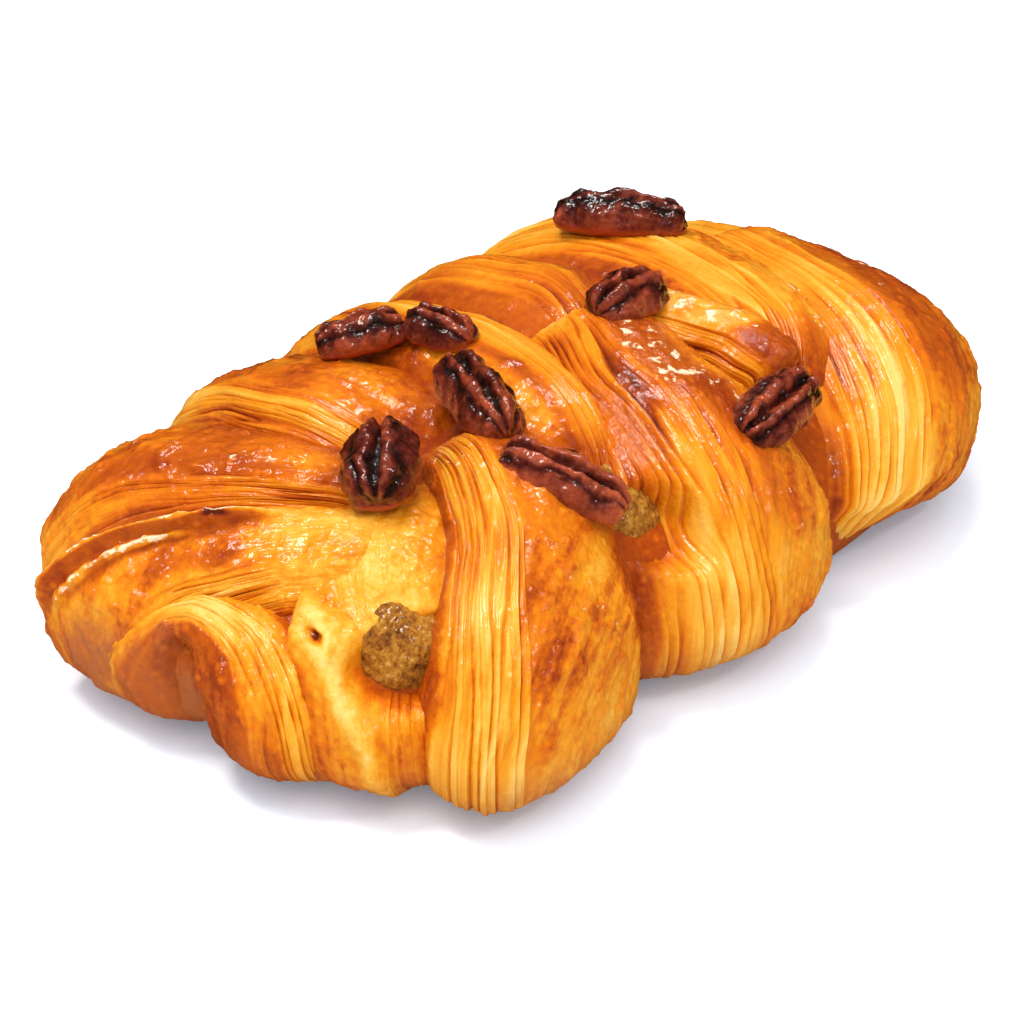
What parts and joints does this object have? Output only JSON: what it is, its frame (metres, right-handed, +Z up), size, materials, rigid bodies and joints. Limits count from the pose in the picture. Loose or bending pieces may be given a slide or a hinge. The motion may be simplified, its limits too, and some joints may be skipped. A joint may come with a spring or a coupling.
{
  "type": "pecan danish pastry",
  "caption": "Plaited laminated danish pastry with overlapping glazed bands of dough, a nut filling that shows in the gaps and glazed pecan pieces on top.",
  "frame": {"origin": "middle of the flat base, on the surface that the pastry rests on", "axes": "+Z up, +X along the length towards the far end, +Y across towards the back side"},
  "size_m": [0.1379, 0.0856, 0.0394],
  "materials": {
    "baked_dough": "golden laminated pastry, browned on the crests, pale on the cut layers, under a thin wet sugar glaze",
    "nut_filling": "grainy brown nut and sugar paste, slightly moist",
    "glazed_pecan": "dark red-brown toasted pecan under a wet glaze"
  },
  "bodies": {
    "root": {"dough": "baked_dough", "filling": "nut_filling", "pecan_1": "glazed_pecan", "pecan_2": "glazed_pecan", "pecan_3": "glazed_pecan", "pecan_4": "glazed_pecan", "pecan_5": "glazed_pecan", "pecan_6": "glazed_pecan", "pecan_7": "glazed_pecan", "pecan_8": "glazed_pecan"}
  },
  "joints": []
}
